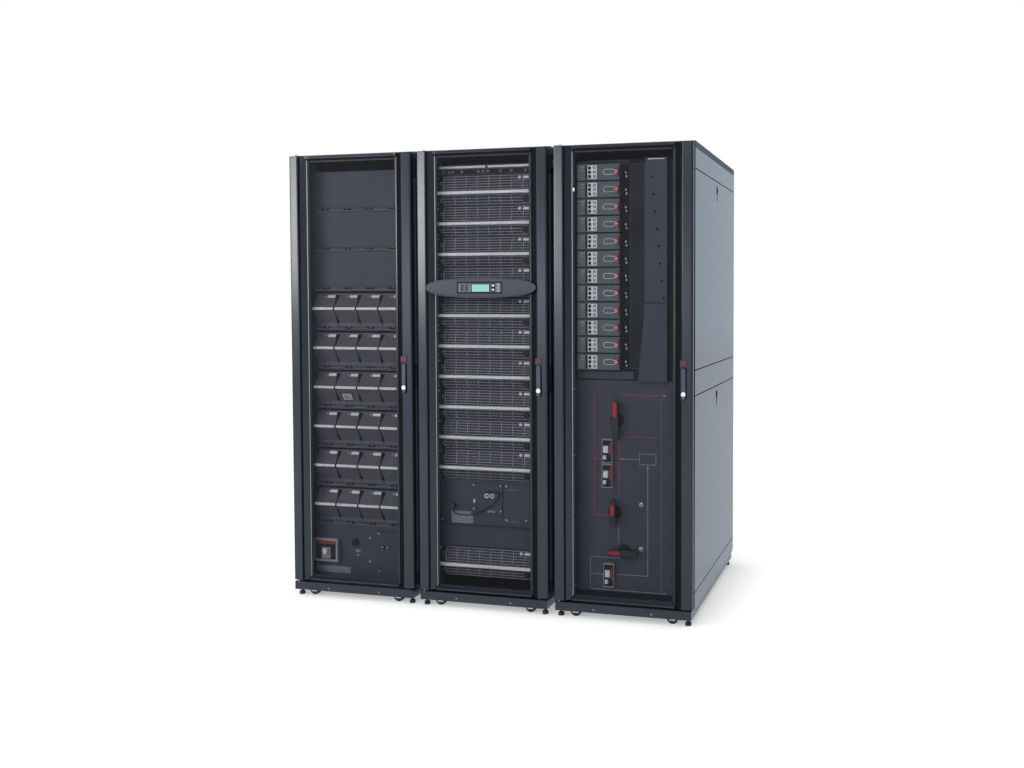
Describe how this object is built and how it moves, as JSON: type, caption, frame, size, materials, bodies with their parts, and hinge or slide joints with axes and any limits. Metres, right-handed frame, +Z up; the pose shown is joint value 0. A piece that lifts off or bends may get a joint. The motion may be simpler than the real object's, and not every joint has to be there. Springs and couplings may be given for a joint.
{
  "type": "three-bay modular ups cabinet",
  "caption": "Floor-standing modular ups cabinet line-up: battery bay, power module bay with a display, and a bypass and distribution bay, behind perforated hinged doors.",
  "frame": {"origin": "centre of the footprint at floor level", "axes": "+X right as seen from the front, +Y to the back, +Z up"},
  "size_m": [1.848, 1.07, 1.991],
  "materials": {
    "charcoal_paint": "satin powder coat",
    "interior_paint": "matt powder coat",
    "perforated_steel": "perforated sheet, black",
    "handle_plastic": "moulded",
    "display_plastic": "fine-grained",
    "latch_plastic": "moulded",
    "display_black": "gloss",
    "lcd_glass": "pale green screen",
    "key_plastic": "soft moulded keys",
    "battery_plastic": "moulded",
    "bar_aluminium": "brushed, anodised",
    "module_paint": "fine mesh grille over dark paint",
    "breaker_plastic": "moulded",
    "toggle_plastic": "moulded",
    "lever_plastic": "red, moulded",
    "lead_jacket": "smooth dark jacket",
    "cover_paint": "satin grey",
    "switch_plastic": "moulded, red face",
    "zinc_steel": "zinc plated",
    "black_rubber": "matt"
  },
  "bodies": {
    "line_up": {"bases": "charcoal_paint", "battery_blank_panels": "interior_paint", "battery_breaker": "breaker_plastic", "battery_lower_panel": "interior_paint", "battery_modules": "battery_plastic", "battery_pull_bars": "bar_aluminium", "battery_shelves": "interior_paint", "baying_spacers": "interior_paint", "cable_cover": "cover_paint", "caster_forks": "zinc_steel", "caster_wheels": "black_rubber", "connection_panel": "interior_paint", "control_unit": "interior_paint", "corner_posts": "interior_paint", "feeder_back_plate": "interior_paint", "feeder_breakers": "breaker_plastic", "feeder_levers": "lever_plastic", "feeder_toggles": "toggle_plastic", "hinge_pins": "zinc_steel", "inner_side_panels": "interior_paint", "left_side_panels": "charcoal_paint", "levelling_feet": "black_rubber", "mimic_panel": "interior_paint", "mounting_rails": "interior_paint", "panel_breakers": "breaker_plastic", "panel_latches": "latch_plastic", "power_blank_panel": "interior_paint", "power_modules": "module_paint", "power_pull_bars": "bar_aluminium", "rear_door_handles": "latch_plastic", "rear_doors": "charcoal_paint", "right_side_panels": "charcoal_paint", "roof_covers": "charcoal_paint", "roofs": "charcoal_paint", "side_rails": "charcoal_paint", "signal_lead": "lead_jacket", "static_switch_module": "module_paint"},
    "battery_door": {"battery_door_frame": "charcoal_paint", "battery_door_mesh": "perforated_steel", "battery_door_handle": "handle_plastic"},
    "power_door": {"power_door_frame": "charcoal_paint", "power_door_mesh": "perforated_steel", "power_door_handle": "handle_plastic", "display_bezel": "display_plastic", "display_panel": "display_black", "display_lcd": "lcd_glass", "display_keys": "key_plastic"},
    "bypass_door": {"bypass_door_frame": "charcoal_paint", "bypass_door_mesh": "perforated_steel", "bypass_door_handle": "handle_plastic"},
    "switch_1": {"bypass_switch_1": "switch_plastic"},
    "switch_2": {"bypass_switch_2": "switch_plastic"},
    "switch_3": {"bypass_switch_3": "switch_plastic"}
  },
  "joints": [
    {"name": "battery_door_hinge", "type": "hinge", "parent": "line_up", "child": "battery_door", "pos_m": [-0.905, -0.505, 0], "axis": [0, 0, -1], "range_deg": [0, 120]},
    {"name": "power_door_hinge", "type": "hinge", "parent": "line_up", "child": "power_door", "pos_m": [-0.281, -0.505, 0], "axis": [0, 0, -1], "range_deg": [0, 120]},
    {"name": "bypass_door_hinge", "type": "hinge", "parent": "line_up", "child": "bypass_door", "pos_m": [0.343, -0.505, 0], "axis": [0, 0, -1], "range_deg": [0, 120]},
    {"name": "switch_1_turn", "type": "hinge", "parent": "line_up", "child": "switch_1", "pos_m": [0.583, -0.439, 0.836], "axis": [0, 1, 0], "range_deg": [0, 90]},
    {"name": "switch_2_turn", "type": "hinge", "parent": "line_up", "child": "switch_2", "pos_m": [0.571, -0.439, 0.444], "axis": [0, 1, 0], "range_deg": [0, 90]},
    {"name": "switch_3_turn", "type": "hinge", "parent": "line_up", "child": "switch_3", "pos_m": [0.615, -0.439, 0.278], "axis": [0, 1, 0], "range_deg": [-90, 0]}
  ]
}
